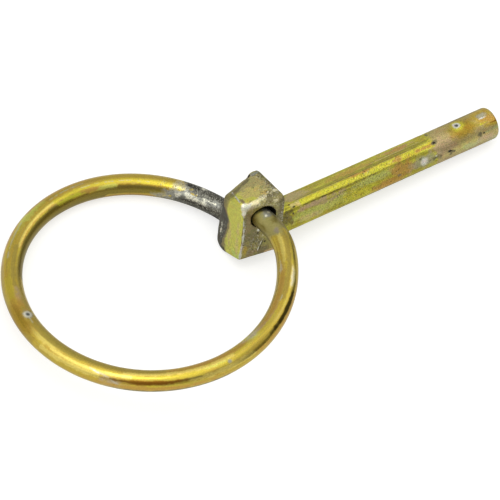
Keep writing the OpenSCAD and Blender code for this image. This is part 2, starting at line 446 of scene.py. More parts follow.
# Marks on the head, in mm: colour, place or line of places, reach or width, how ragged
# the rim is, and how soft. Some of them paint highlights on its ridge and edges, as noted
HEAD_MARKS = (
    ("lime", (-8.6, -1.2, 2.5), (1.0, 3.2, 9.0), 0.1, 0.2),
    ("lime", (-6.9, -0.9, 10.3), (1.4, 2.1, 1.0), 0.4, 0.12),
    ("lime", (-5.7, -1.9, 10.3), (1.5, 0.9, 0.8), 0.4, 0.5),
    ("lime", (-7.1, -3.6, -2.7), (1.2, 0.8, 0.6), 0.3, 0.4),
    ("khaki", (-3.4, 1.2, 10.4), (4.4, 3.2, 0.9), 0.2, 0.4),
    ("khaki", (-4.6, -3.9, 8.4), (4.6, 1.0, 1.5), 0.4, 0.6),
    ("straw", (-5.2, -0.2, 10.4), (2.4, 1.3, 0.8), 0.5, 0.25),
    ("straw", (-3.6, -1.6, 10.4), (1.7, 1.0, 0.8), 0.5, 0.4),
    ("straw", (-6.0, -3.0, 9.6), (3.2, 0.8, 0.6), 0.4, 0.8),
    ("straw", (-8.5, 0.4, 0.6), (0.6, 0.5, 2.4), 0.5, 0.5),
    ("brass", (-7.6, -3.4, -1.2), (0.45, 0.7, 1.2), 0.5, 0.9),
    ("green", (-8.6, -1.8, -2.6), (0.8, 1.0, 0.9), 0.5, 0.9),
    ("brown", (-7.8, -1.6, 10.2), (0.30, 0.9, 0.5), 0.6, 0.8),
    ("rose", (-7.0, -3.2, 9.6), (0.9, 0.4, 0.5), 0.6, 0.9),
    ("pink", (-2.6, -4.5, -2.6), (1.3, 0.7, 0.4), 0.4, 0.3),
    ("straw", (-8.5, -2.0, 0.6), (0.5, 0.35, 3.6), 1.1, 0.9),
    ("brown", (-6.2, -3.6, -2.1), (1.1, 0.7, 0.9), 0.4, 0.5),
    ("brown", (-7.7, -3.4, 8.1), (0.4, 0.5, 0.6), 0.4, 0.5),
    ("brown", (-7.4, -3.5, 5.5), (0.7, 0.6, 2.6), 0.5, 0.8),
    ("drab", (-0.3, -4.9, 6.0), (1.1, 1.5, 5.2), 0.3, 0.5),
    # painted highlight: pale and cream at the right end of the front ridge
    ("pale", ((-0.9, -2.2, 10.4), (-0.6, -3.5, 10.0)), 0.07, 1.9, 0.8),
    ("cream", (-1.2, -3.3, 10.0), (1.1, 0.9, 0.7), 1.5, 0.9),
    ("drab", (-0.1, 0, 3), (0.80, 9, 9), 0.3, 0.4),
    ("drab", ((-7.8, 1.6, 9.6), (-6.2, 2.2, 10.0), (-3.2, 3.0, 10.1)), 0.45, 0.7, 0.8),
    ("drab", ((-0.6, 3.0, 10.4), (-0.5, -0.5, 10.4), (-0.7, -3.2, 10.2)), 0.42, 0.9, 0.9),
    ("steel", (-1.4, 3.4, 10.3), (1.0, 0.30, 0.5), 0.9, 0.8),
    ("steel", (-5.0, -4.1, 3.4), (0.7, 0.5, 0.40), 0.6, 0.8),
    # painted highlight, partly worn bright metal: silver, pale, cream and haze along the head's
    # front ridge, its corner and the edge below it, where its highlights fall
    ("silver", ((-8.35, -2.9, 9.0), (-8.1, -3.3, 3.1), (-8.4, -3.1, -2.8)), 0.18, 0.9, 0.5),
    ("pale", (-8.05, -2.8, 9.6), (0.80, 0.7, 0.9), 0.3, 0.5),
    ("pale", ((-8.35, -2.9, 8.2), (-8.15, -2.85, 9.6), (-6.8, -2.9, 10.1)), 0.34, 0.8, 0.7),
    ("cream", ((-8.3, -2.7, 10.0), (-6.4, -2.9, 10.1), (-5.6, -2.9, 10.2)), 0.48, 0.5, 0.8),
    ("cream", ((-5.6, -2.8, 10.2), (-3.3, -2.7, 10.4)), 0.30, 0.9, 0.9),
    ("haze", (-6.6, -3.1, 9.6), (2.6, 0.6, 0.9), 0.5, 0.9),
    ("silver", ((-8.3, -1.4, 10.1), (-7.7, 1.0, 9.8), (-7.4, 2.2, 9.4)), 0.13, 0.5, 0.6),
    # partly painted highlight, partly pale flecks: thin pale lines along the end face's back edges
    ("pale", ((-8.4, 2.9, 2.6), (-8.5, 2.8, 0.6), (-8.5, 3.0, -0.6)), 0.13, 1.6, 0.4),
    ("pale", ((-8.4, 3.4, 5.4), (-8.4, 3.5, 2.0)), 0.10, 1.6, 0.4),
    ("pale", ((-8.4, 3.6, -0.4), (-8.4, 3.2, -2.4)), 0.12, 1.6, 0.4),
    ("pale", ((-4.9, -3.9, -1.9), (-4.3, -4.1, 0.4)), 0.13, 1.2, 0.5),
    ("pale", ((-4.1, -4.0, -1.6), (-3.6, -4.1, 0.0)), 0.10, 1.2, 0.5),
    ("pale", (-5.2, -4.1, 3.5), (0.32, 0.5, 0.22), 0.5, 0.6),
    ("dark", ((-4.55, -4.0, -1.7), (-4.0, -4.1, 0.4)), 0.12, 1.0, 0.5),
    ("dark", (-3.6, -4.2, 0.1), (0.22, 0.4, 0.24), 0.4, 0.5),
    ("dark", (-5.2, -3.9, 2.7), (0.28, 0.4, 0.22), 0.5, 0.5),
    ("dark", ((-7.85, -3.4, 7.0), (-7.85, -3.4, 0.0), (-7.95, -3.3, -1.6)), 0.05, 2.4, 0.6),
    ("dark", ((-3.0, 3.5, 9.8), (-2.3, 3.7, 9.9)), 0.24, 0.6, 0.6),
    ("drab", ((-1.9, 3.1, 10.3), (-1.0, 3.2, 10.4)), 0.12, 1.2, 0.8),
    ("dark", ((-1.3, 2.4, 10.4), (-1.0, 0.2, 10.4), (-1.5, -2.0, 10.3)), 0.06, 2.4, 0.8),
    ("speck", (-8.0, -3.2, 3.0), (0.5, 0.5, 6.0), 0.4, 0.6),
    ("speck", (-1.5, -2.2, 10.3), (2.3, 2.6, 0.9), 0.4, 0.5),
    ("speck", (-0.9, -2.4, 10.3), (1.2, 2.2, 0.9), 0.4, 0.5),
    ("speck", (-1.0, 0.6, 10.4), (0.7, 2.6, 0.6), 0.4, 0.6),
    ("speck", (-3.4, -3.9, 8.8), (4.6, 1.2, 1.4), 0.3, 0.5),
    ("speck", (-0.4, -4.9, 6.0), (0.8, 1.2, 4.6), 0.3, 0.5),
    ("speck", (-5.4, -3.8, 0.5), (2.2, 1.2, 4.0), 0.4, 0.8),
    ("speck", (-4.0, -2.8, 10.3), (1.8, 0.7, 0.6), 0.4, 0.8),
    ("speck", (-8.5, 2.6, 0.6), (0.6, 1.4, 4.0), 0.4, 0.8),
)

# Marks on the shank, in mm: place along, and round from the top towards the front. Some of them
# paint highlights, as noted
SHANK_MARKS = (
    ("tan", (6.5, -1.2), (3.0, 1.7), 0.5, 0.8),
    ("straw", ((18, -0.62), (36, -0.58)), 0.16, 1.2, 1.0),
    ("moss", ((5, 0.18), (37, 0.22)), 0.38, 0.5, 0.9),
    ("moss", ((9, -1.55), (27, -1.50)), 0.10, 1.2, 1.0),
    ("umber", ((15, -0.15), (37, -0.10)), 0.07, 1.4, 1.0),
    ("gold", (20, -1.1), (5.5, 0.9), 0.6, 0.9),
    ("pink", (31.5, -1.6), (3.0, 0.7), 0.4, 0.8),
    ("orange", (31.2, -1.5), (2.6, 0.7), 0.6, 1.0),
    ("umber", ((6.0, 0.56), (35.0, 0.64)), 0.09, 0.9, 0.9),
    # partly painted highlight: straw and yellow on the flat where the shank's highlight falls make
    # that band lighter than the flats beside it
    ("straw", ((4.8, 1.30), (11, 1.40)), 0.55, 0.7, 0.9),
    ("yellow", ((7.0, 1.42), (38.0, 1.46)), 0.60, 0.45, 0.60),
    ("straw", ((5.0, 1.02), (34.0, 1.00)), 0.26, 1.4, 0.9),
    ("gold", (17.5, 1.2), (2.0, 0.45), 0.9, 0.9),
    ("orange", (21.0, 0.95), (2.6, 0.26), 0.9, 0.9),
    ("orange", (29.8, 1.5), (1.1, 0.6), 0.9, 0.9),
    ("straw", (36.2, 1.4), (2.8, 0.60), 0.6, 0.9),
    ("orange", (35.6, 1.6), (1.8, 0.30), 0.9, 1.0),
    ("umber", ((7.0, 2.14), (16.0, 2.17)), 0.10, 0.9, 0.9),
    ("fern", (11.0, 4.3), (8.5, 1.1), 0.5, 0.9),
    ("straw", (8.0, 5.2), (3.0, 0.5), 0.8, 1.0),
    ("fern", (24.5, 3.3), (5.5, 0.9), 0.4, 0.7),
    ("pink", (10.4, 2.75), (4.6, 0.55), 0.6, 0.8),
    ("tan", (13.0, 3.45), (2.8, 0.35), 0.9, 0.9),
    ("yellow", (20.5, 5.0), (5.0, 1.1), 0.7, 0.9),
    ("orange", (26.5, 5.6), (3.6, 0.9), 0.5, 0.8),
    ("orange", (30.0, 3.9), (2.9, 1.7), 0.5, 0.7),
    ("pink", (31.8, 4.6), (1.4, 1.0), 0.6, 0.9),
    ("tan", (45.6, 2.6), (7.6, 11.0), 0.06, 0.12),
    ("pink", (40.5, 2.8), (3.0, 1.6), 0.5, 0.9),
    ("straw", (47.0, 4.6), (6.5, 1.3), 0.4, 1.0),
    ("brass", (47.0, -2.0), (8.0, 1.2), 0.3, 0.8),
    ("umber", (46.0, -2.6), (7.0, 0.9), 0.3, 1.0),
    ("brass", (45.0, 0.6), (2.9, 2.5), 0.2, 0.9),
    ("bronze", (45.6, 1.2), (2.4, 1.5), 0.3, 1.0),
    ("yellow", (44.8, 0.10), (1.45, 1.20), 0.15, 0.7),
    ("gold", (50.4, 0.2), (2.4, 1.8), 0.3, 0.8),
    ("straw", (50.4, 0.4), (1.6, 0.9), 0.3, 0.8),
    ("orange", (51.4, 1.4), (1.7, 0.8), 0.4, 0.9),
    ("gold", (51.5, 2.5), (1.7, 0.6), 0.4, 0.8),
    ("yellow", ((49.2, 1.85), (53.0, 1.75)), 0.16, 0.6, 0.8),
    ("red", ((51.2, 2.35), (52.9, 2.30)), 0.10, 0.5, 0.8),
    ("mint", (46.6, 5.1), (2.5, 0.7), 0.8, 1.0),
    ("mint", ((49.5, 3.7), (53.0, 3.5)), 0.16, 0.6, 0.9),
    ("rose", (49.8, 4.8), (2.8, 0.8), 0.8, 1.0),
    ("mint", (51.6, 5.8), (1.3, 0.5), 0.6, 0.9),
    ("umber", (2.6, 3.4), (1.7, 1.5), 1.2, 0.9),
    ("umber", (4.0, 2.4), (0.9, 0.5), 1.4, 0.8),
    ("umber", (3.6, 3.6), (0.9, 0.5), 1.4, 0.8),
    ("brown", (29.3, 5.0), (0.5, 0.2), 1.0, 0.9),
    ("putty", (35.4, 4.15), (2.9, 1.25), 0.35, 0.7),
    # painted highlight: putty and haze at the shank's round end paint the whitish highlight patch
    # there
    ("putty", (50.4, 0.2), (0.95, 0.6), 0.5, 0.9),
    ("haze", (50.4, 0.15), (0.75, 0.42), 0.5, 1.0),
    ("drab", (37.8, 4.5), (0.9, 0.45), 0.9, 0.8),
    ("drab", (34.6, 3.5), (0.5, 0.3), 0.9, 0.8),
    ("drab", (38.4, -1.4), (0.28, 0.55), 0.5, 0.7),
    ("pale", (35.3, 4.35), (0.72, 0.85), 0.3, 1.0),
    # painted highlight on the shank's round end
    ("pale", (50.4, 0.82), (0.75, 0.14), 0.6, 1.0),
    ("pale", (44.6, 0.0), (0.82, 0.68), 0.2, 0.6),
    ("pale", (38.0, 4.2), (0.26, 0.15), 0.5, 0.8),
    ("ink", (44.66, 0.03), (0.37, 0.32), 0.2, 0.7),
    ("drab", (38.4, 1.45), (0.62, 0.42), 0.5, 0.6),
    ("dark", (38.35, 1.42), (0.30, 0.17), 0.5, 0.8),
    ("drab", ((40.8, 4.25), (42.2, 4.75)), 0.30, 0.6, 0.6),
    ("drab", (41.3, 5.1), (0.40, 0.36), 0.7, 0.6),
    ("dark", (41.2, 4.35), (0.50, 0.16), 0.7, 0.8),
    ("drab", (48.4, 3.6), (0.50, 0.36), 0.7, 0.7),
    ("dark", (49.3, 3.65), (0.30, 0.20), 0.5, 0.7),
    ("dark", (5.0, 1.75), (0.42, 0.22), 0.6, 0.7),
    ("dark", (4.2, 1.0), (0.24, 0.16), 0.6, 0.6),
    ("dark", (4.4, 2.9), (0.26, 0.20), 0.7, 0.7),
    ("fern", (18, 8.6), (12, 1.1), 0.5, 0.8),
    ("pink", (28, 10.2), (7, 0.8), 0.5, 0.8),
    ("orange", (9, 11.8), (5, 1.0), 0.5, 0.8),
    ("yellow", (24, 13.2), (9, 0.7), 0.5, 0.8),
    ("fern", (20, -4.6), (10, 0.8), 0.5, 0.8),
    ("mint", (47, 9.4), (3.6, 1.0), 0.5, 0.9),
    ("rose", (49, 12.0), (3.0, 1.0), 0.5, 0.9),
    ("drab", (41, 9.0), (0.7, 0.35), 0.8, 0.7),
    ("drab", (30, 12.6), (0.6, 0.35), 0.8, 0.7),
    ("speck", (2.4, 2.8), (2.8, 2.4), 0.5, 0.8),
    ("speck", (24, 1.5), (15, 0.55), 0.4, 0.9),
    ("speck", (22, 2.2), (16, 0.30), 0.4, 0.9),
    ("speck", (17, 5.2), (9, 1.0), 0.5, 0.9),
    ("speck", (20, 3.6), (15, 1.1), 0.5, 0.9),
)

# The order the pin's colours lie in, each with its roughness
PIN_LAYERS = (
    ("moss", 0.42), ("fern", 0.40), ("khaki", 0.42), ("lime", 0.40), ("tan", 0.38),
    ("green", 0.40), ("straw", 0.38), ("pink", 0.40), ("brass", 0.38), ("bronze", 0.38),
    ("gold", 0.36), ("yellow", 0.34), ("orange", 0.36), ("mint", 0.34), ("putty", 0.42),
    ("rose", 0.34), ("red", 0.30), ("umber", 0.42), ("brown", 0.45), ("drab", 0.46),
    ("grey", 0.48), ("haze", 0.42), ("steel", 0.42), ("silver", 0.36), ("cream", 0.36),
    ("pale", 0.34), ("ink", 0.45), ("dark", 0.60),
)

# Dents and burrs on the pin, in mm: place, reach, and how far the metal stands out
DENTS = (
    ((-1.6, 4.0, 9.9), (0.85, 0.80, 0.60), 0.24),
    ((-2.75, 3.9, 9.5), (0.40, 0.60, 0.50), -0.16),
    ((-1.0, -2.6, 10.5), (0.50, 0.60, 0.50), -0.08),
    ((-2.2, -3.3, 10.4), (0.40, 0.40, 0.40), -0.07),
    ((-0.8, 1.4, 10.5), (0.35, 0.50, 0.40), -0.06),
    ((-4.6, -4.0, -1.0), (0.22, 0.60, 1.50), -0.08),
    ((-3.9, -4.1, -0.8), (0.18, 0.60, 1.10), -0.06),
    ((38.4, -1.4, 2.9), (0.45, 0.35, 0.40), -0.09),
    ((44.6, 0.0, 3.2), (0.35, 0.32, 0.40), -0.06),
    ((41.5, -3.1, 0.5), (0.80, 0.40, 0.35), -0.05),
    ((35.3, -3.1, 0.7), (0.90, 0.40, 0.90), -0.05),
)

# The dark scale on the end face: its edge, as height and how far back it starts, in mm,
# and how far that edge wanders
SCALE_EDGE = ((-5.0, -0.6), (-3.6, 1.9), (-2.0, 1.7), (-0.6, 1.3), (1.6, 0.75), (3.6, 0.45),
              (4.6, 1.1), (6.2, 1.95), (7.4, 2.5), (11.0, 3.2))
SCALE_WANDER = 0.25

# The holes that hold the wire: which side each opens to, and its height, in mm. The steel
# is painted dark as shade to HOLE_RIM past their walls, and no farther out than HOLE_OUT from the
# middle
HOLES = ((-1, HINGE[2] + STAGGER / 2 + HOLE_LIFT), (1, HINGE[2] - STAGGER / 2 + HOLE_LIFT))
HOLE_R = (WIRE_D + HOLE_CLEAR) / 2
HOLE_RIM = 0.07
HOLE_OUT = 4.6

# How finely the pin is meshed, and how near to each other its points are joined first
PIN_GRAIN = 0.15 * MM
WELD_REACH = 1e-6
# Rounds of smoothing that take out the voxels' faint steps, and how much of its own place
# a point keeps in each
SMOOTH_ROUNDS = 2
SMOOTH_KEEP = 0.4
# The forged skin, in mm: lumps and grain of the head, slow waves and grain of the shank,
# pits in both, wear of the head's edges, and the heights between which an edge gets worn
HEAD_LUMPS = 0.050
HEAD_GRAIN = 0.014
SHANK_WAVES = 0.012
SHANK_GRAIN = 0.3 * HEAD_GRAIN
HEAD_PITS = 0.035
SHANK_PITS = 0.012
EDGE_WEAR = 0.05
EDGE_HEIGHTS = (0.05, 0.16)
# The shoulder, where the head's marks end and the shank's begin, in mm
SHOULDER_X = -0.02
# Lime film clings only to the end face, where the metal faces back this much, and to the
# head's top, above this height in mm
END_FACING = -0.7
TOP_Z = 9
# How much of the bright metal shows on rubbed edges, and of the dirt in pits
RUB_SHOWS = 0.6
DIRT_SHOWS = 0.7


def dense_pin():
    """A finely meshed copy of the CAD's pin, to carry the forging's lumps and marks."""
    work = link(bpy.data.objects.new("pin_work", frame["nodes"]["pin"].data.copy()))
    work.data.materials.clear()
    weld = work.modifiers.new("weld", "WELD")
    weld.merge_threshold = WELD_REACH
    remesh = work.modifiers.new("remesh", "REMESH")
    remesh.mode = "VOXEL"
    remesh.voxel_size = PIN_GRAIN
    remesh.use_smooth_shade = True
    return plain_mesh(work, "pin_body")


def pin_masks(points, normals, worn, pitted):
    """How much of each colour shows at each point of the pin, from 0 to 1."""
    p = points / MM
    x, y, z = p.T
    head = (x < SHOULDER_X).astype(np.float32)
    unrolled = np.stack([x, np.arctan2(-y, z) * SHANK_R], 1)
    masks = new_masks(PIN_LAYERS, len(p))
    wobble = rough_noise(p, size=1.2, octaves=3, seed=100)
    add_marks(masks, p, HEAD_MARKS, wobble, head)
    add_marks(masks, unrolled, SHANK_MARKS, wobble, 1 - head, turn=2 * math.pi * SHANK_R)
    masks["lime"] *= (normals[:, 0] <= END_FACING) | (z > TOP_Z)
    # the end face's bare scale, with a brown rim
    end = smooth_step(-normals[:, 0], 0.45, 0.75) * head
    past = y - np.interp(z, *zip(*SCALE_EDGE)) + SCALE_WANDER * wobble
    lay(masks, "brown", end * smooth_step(past, -0.10, 0.15))
    lay(masks, "grey", end * smooth_step(past, 0.35, 0.75))
    # bright metal on the head's rubbed edges, dirt in its pits, and painted shade in the holes
    rubbed = RUB_SHOWS * worn * worn * head * smooth_step(-x, 0.2, 1.2)
    lay(masks, "silver", rubbed * smooth_step(wobble, -0.3, 0.4))
    lay(masks, "dark", DIRT_SHOWS * pitted * head * (1 - masks["lime"]))
    for side, height in HOLES:
        bore = np.hypot(x - HINGE[0], z - height) < HOLE_R + HOLE_RIM
        masks["dark"][bore & (y * side > 0) & (abs(y) < HOLE_OUT)] = 1
    return masks


def shape_pin(mesh):
    """Gives the plain pin its forged skin, its dents and its masks."""
    points = read_points(mesh)
    for _ in range(SMOOTH_ROUNDS):
        points = SMOOTH_KEEP * points + (1 - SMOOTH_KEEP) * neighbour_mean(mesh, points, 1)
    write_points(mesh, points)
    normals = read_normals(mesh)
    raised = edge_height(mesh, points, normals, rounds=14)
    p = points / MM
    head = 1 - smooth_step(p[:, 0], -0.4, 0.2)
    shank = 1 - head
    lumps = HEAD_LUMPS * rough_noise(p, size=3.2, octaves=2, seed=11)
    grain = rough_noise(p, size=0.7, octaves=2, seed=23)
    pits = rough_noise(p, size=0.7, octaves=2, seed=31)
    waves = SHANK_WAVES * rough_noise(p, size=2.5, octaves=2, seed=41)
    rubs = 0.5 + rough_noise(p, size=1.1, octaves=2, seed=51)
    pitted = smooth_step(pits, 0.72, 0.95)
    worn = smooth_step(raised, *EDGE_HEIGHTS)
    push = head * (lumps + HEAD_GRAIN * grain) + shank * (waves + SHANK_GRAIN * grain)
    push -= pitted * (HEAD_PITS * head + SHANK_PITS * shank)
    push -= EDGE_WEAR * worn * head * rubs
    push += dent_push(p, DENTS, pits, ragged=0.15)
    write_points(mesh, points + normals * (push * MM)[:, None])
    for name, mask in pin_masks(points, normals, worn, pitted).items():
        write_mask(mesh, name, mask)


def make_pin(finish):
    mesh = dense_pin()
    shape_pin(mesh)
    mesh.materials.append(finish)
    return link(bpy.data.objects.new("pin_body", mesh))


# ---------------------------------------------------------------- the sprung ring

# Marks on the ring, in mm: place along from the back end, and round the wire from its
# outer side upwards. Some of them paint highlights, shade and dark reflections, as noted
RING_MARKS = (
    ("lime", (30.5, 5.1), (2.6, 0.5), 0.5, 0.7),
    ("lime", (48.5, 2.3), (4.0, 0.9), 0.5, 0.9),
    ("lime", (81.5, 3.8), (1.4, 0.4), 0.5, 0.9),
    ("lime", (112, -0.4), (6, 0.5), 0.5, 0.9),
    ("lime", (116, 2.6), (3, 0.4), 0.5, 0.9),
    ("pink", (97, -0.3), (1.8, 0.7), 0.5, 0.9),
    ("pink", (132, 3.9), (8, 0.5), 0.5, 0.9),
    ("pink", (63, 0.8), (4, 0.5), 0.5, 0.9),
    ("orange", (39.5, 2.0), (4.0, 0.7), 0.5, 0.9),
    ("pink", (70.2, 3.9), (2.0, 0.8), 0.6, 1.0),
    ("orange", (53.5, 1.2), (3.6, 0.6), 0.5, 0.9),
    ("orange", (34.3, 4.9), (1.8, 0.5), 0.5, 0.6),
    # painted highlight: orange, honey and blond laid along the lines where the wire's highlights
    # fall, lightening, widening and tinting them
    ("orange", ((43, 4.3), (57, 4.3)), 0.20, 0.4, 0.9),
    ("honey", ((20, 4.05), (43, 4.15)), 0.34, 0.5, 0.8),
    ("blond", ((43, 4.1), (57, 4.05)), 0.24, 0.4, 0.8),
    ("blond", ((99, 2.85), (120, 2.9)), 0.34, 0.7, 1.0),
    ("blond", ((84, 1.9), (100, 2.0)), 0.30, 0.4, 0.9),
    ("orange", ((21, 7.4), (31, 7.4)), 0.45, 0.3, 0.6),
    ("orange", (75.0, 2.4), (4.2, 2.4), 0.3, 0.9),
    ("bronze", (75.2, 0.8), (3.5, 2.2), 0.3, 1.0),
    ("blond", (75.1, 2.55), (1.2, 0.6), 0.3, 1.0),
    ("brass", ((57, 3.55), (67, 3.4)), 0.35, 0.6, 1.0),
    ("orange", (104, 3.3), (9, 0.5), 0.4, 0.9),
    ("orange", (106, -0.2), (12, 0.5), 0.4, 0.9),
    ("orange", (116, 3.7), (8, 0.6), 0.4, 0.9),
    ("orange", (137, 4.3), (8, 0.9), 0.5, 0.9),
    ("orange", (134, 0.4), (9, 0.6), 0.4, 0.9),
    ("yellow", (39.5, 5.0), (3.6, 0.45), 0.5, 0.6),
    # painted highlight: honey along the highlight on top of the back leg
    ("honey", ((15.5, 4.2), (24, 4.3)), 0.50, 0.3, 0.8),
    ("blond", (149, 3.9), (4.2, 0.45), 0.4, 0.8),
    # painted highlight, beside a real grip dent (in WIRE_DENTS): blond and cream where the
    # highlight bends round the flattened spot
    ("blond", (142.2, 2.0), (2.8, 0.58), 0.25, 0.6),
    ("cream", (141.9, 2.0), (2.0, 0.42), 0.5, 0.8),
    # painted highlight: blond on the broad highlight of the front part
    ("blond", (82, 2.3), (4.0, 0.5), 0.4, 0.9),
    ("bronze", ((18, 5.1), (28, 5.15)), 0.42, 0.5, 0.8),
    ("umber", ((18.5, 5.2), (28, 5.2)), 0.24, 0.5, 0.8),
    # painted shade: umber along the wire's inner side, standing in for the dim reflection it shows
    # there
    ("umber", ((19, 5.9), (31, 6.0)), 0.72, 0.20, 0.40),
    ("umber", ((31.5, 6.3), (44, 6.4)), 0.95, 0.20, 0.40),
    ("umber", ((43, 5.8), (54, 5.65), (64, 5.8)), 1.05, 0.12, 0.40),
    ("brass", ((60, 5.2), (72, 4.7), (84, 3.9), (98, 3.7), (106, 4.0)), 0.75, 0.3, 0.9),
    # painted reflection: a near-black line along the wire, standing in for the reflection of a
    # dark strip of the studio
    ("dark_reflection", (135.0, 1.36), (6.0, 0.46), 0.25, 0.6),
    ("umber", ((146, 1.9), (152, 1.8)), 0.14, 0.5, 0.8),
    ("sage", (158.9, 3.5), (6.6, 7.0), 0.12, 0.20),
    ("umber", (154.5, 1.9), (1.9, 0.6), 0.4, 0.9),
    ("umber", (156.5, 6.2), (3.0, 0.9), 0.4, 0.9),
    ("umber", (155.6, 2.6), (1.0, 0.8), 1.0, 1.0),
    ("brass", ((137, 3.0), (152, 2.9)), 0.50, 0.5, 0.9),
    ("brass", ((126, 4.9), (148, 5.5)), 0.60, 0.4, 0.9),
    ("orange", ((34, 2.0), (48, 1.6)), 0.50, 0.5, 0.9),
    ("brass", ((62, 0.5), (70, 0.3), (79, 0.2)), 0.80, 0.3, 0.9),
    ("brass", ((73, 3.1), (90, 2.9)), 0.34, 0.4, 0.9),
    # painted shade: brass and umber along the wire's underside, standing in for the contact shade
    # near the floor
    ("brass", ((96, -1.3), (120, -1.3)), 0.60, 0.25, 0.8),
    ("umber", ((98, -1.15), (118, -1.15)), 0.42, 0.6, 0.8),
    # painted reflection: a dark red-brown line along the wire's lower side, standing in for the
    # reflection of a dark strip of the studio
    ("umber", ((96.5, 1.15), (104, 1.2), (113, 1.3)), 0.16, 0.6, 0.9),
    ("red", (103.8, 1.18), (6.4, 0.42), 0.3, 0.7),
    ("blond", ((111, 1.05), (124, 0.9)), 0.40, 0.6, 1.0),
    ("blond", ((82, 0.9), (94, 1.1)), 0.42, 0.6, 1.0),
    ("ash", (2.5, 3), (12.4, 9), 0.22, 0.14),
    ("ash", (14.5, 5.6), (2.4, 1.1), 0.30, 0.20),
    ("ash", (8.0, 7.3), (11.6, 2.1), 0.30, 0.20),
    ("soot", ((-3, 3.4), (9, 3.4), (14, 3.1)), 0.50, 0.6, 0.9),
    ("soot", ((-3, 7.3), (8, 7.3), (13, 7.3)), 1.00, 0.6, 0.9),
    ("soot", ((2, 6.0), (13, 6.1)), 0.55, 0.9, 0.9),
    ("soot", ((3, 2.1), (11, 2.2)), 0.45, 0.9, 0.9),
    ("soot", (16.0, 6.2), (1.6, 0.6), 0.9, 0.9),
    ("haze", (15.9, 3.6), (1.8, 0.9), 0.9, 0.8),
    ("haze", (18.8, 6.4), (2.2, 1.0), 1.0, 0.8),
    ("haze", ((35, 3.05), (43, 3.2)), 0.12, 1.4, 0.9),
    ("haze", ((51, 2.35), (55, 2.35), (60, 2.3)), 0.15, 1.0, 0.9),
    ("haze", ((93.2, 2.0), (96.0, 1.4)), 0.16, 0.9, 0.9),
    ("pink", (97.0, 0.5), (2.0, 0.8), 0.6, 0.9),
    ("lime", (125.9, 3.9), (2.1, 0.9), 0.3, 1.0),
    ("haze", (126.1, 4.0), (1.8, 0.7), 0.5, 1.0),
    ("haze", ((136, 3.25), (138, 3.2)), 0.06, 1.2, 0.9),
    ("haze", (144.4, 4.7), (1.3, 0.28), 0.9, 1.0),
    ("haze", ((137.5, 5.2), (141, 5.2)), 0.12, 1.2, 0.9),
    ("steel", (16.4, 5.4), (1.6, 0.9), 0.7, 0.8),
    ("steel", ((7.5, 4.4), (10, 5.1), (16, 5.2)), 0.65, 0.7, 0.9),
    ("steel", (74.95, 3.50), (0.95, 0.86), 0.3, 1.0),
    ("steel", (118.9, 1.95), (0.42, 0.36), 0.3, 0.9),
    ("dusk", (153.2, 3.8), (0.60, 0.48), 0.4, 0.9),
    ("steel", (157.6, 2.6), (1.3, 1.5), 0.5, 0.8),
    ("pale", ((8, 4.5), (14.5, 4.9)), 0.17, 1.4, 0.9),
    ("pale", (12.8, 5.3), (2.2, 0.35), 1.0, 0.9),
    ("pale", (11.3, 2.5), (0.7, 0.4), 1.0, 0.8),
    ("pale", (15.6, 5.4), (0.7, 0.5), 1.0, 0.9),
    ("haze", ((22, 4.2), (27, 4.05), (36, 3.95)), 0.05, 1.5, 0.9),
    ("pale", (74.95, 3.38), (0.74, 0.70), 0.2, 0.9),
    ("haze", ((75.8, 3.3), (77.2, 3.2)), 0.14, 0.8, 0.9),
    ("haze", ((92.3, 2.1), (94.6, 1.6)), 0.16, 0.9, 0.9),
    ("pale", ((93.0, 1.95), (94.2, 1.65)), 0.06, 0.9, 0.9),
    ("haze", ((96.6, 0.9), (98.4, 0.2)), 0.14, 1.0, 0.9),
    ("haze", (157.4, 3.4), (0.50, 0.40), 0.9, 0.8),
    ("haze", (157.6, 2.2), (0.70, 0.60), 0.9, 0.8),
    ("pale", (157.2, 3.6), (0.26, 0.22), 0.9, 1.0),
    ("pale", (157.7, 2.5), (0.24, 0.20), 0.9, 1.0),
    ("ink", (74.98, 3.40), (0.46, 0.40), 0.2, 1.0),
    # painted shade: ink where the wire goes into its hole
    ("ink", (159.1, 1.6), (0.5, 0.6), 0.6, 0.9),
    ("dark", ((5.5, 7.2), (9.0, 7.5)), 0.30, 1.2, 0.9),
    ("dark", ((9.4, 6.2), (12, 6.1), (15, 6.3)), 0.16, 0.9, 0.8),
    ("dark", ((6.5, 2.55), (11, 2.5)), 0.16, 0.8, 0.8),
    ("dark", (13.4, 2.8), (1.2, 0.5), 1.2, 0.9),
    ("lime", (90, -4.2), (12, 0.8), 0.5, 0.9),
    ("lime", (56, -4.6), (9, 0.7), 0.5, 0.9),
    ("orange", (66, -2.6), (12, 0.8), 0.5, 0.9),
    ("orange", (122, -3.4), (10, 0.9), 0.5, 0.9),
    ("pink", (36, -3.2), (10, 0.8), 0.5, 0.9),
    ("haze", ((100, -3.0), (112, -3.2)), 0.25, 1.2, 0.9),
    ("haze", (46, -4.4), (3.0, 0.7), 0.8, 0.9),
    ("haze", (134, -5.2), (3.0, 0.7), 0.8, 0.9),
    ("speck", (5, 3), (16, 9), 0.3, 0.5),
)

# The order the ring's colours lie in, each with its roughness
RING_LAYERS = (
    ("lime", 0.22), ("pink", 0.24), ("orange", 0.21), ("yellow", 0.22), ("honey", 0.22),
    ("blond", 0.22), ("brass", 0.22), ("bronze", 0.22), ("sage", 0.34), ("umber", 0.30),
    ("dark_reflection", 0.24), ("dusk", 0.34), ("red", 0.22), ("ash", 0.44), ("soot", 0.50),
    ("haze", 0.30), ("steel", 0.40), ("cream", 0.22), ("pale", 0.38), ("ink", 0.40),
    ("dark", 0.5),
)

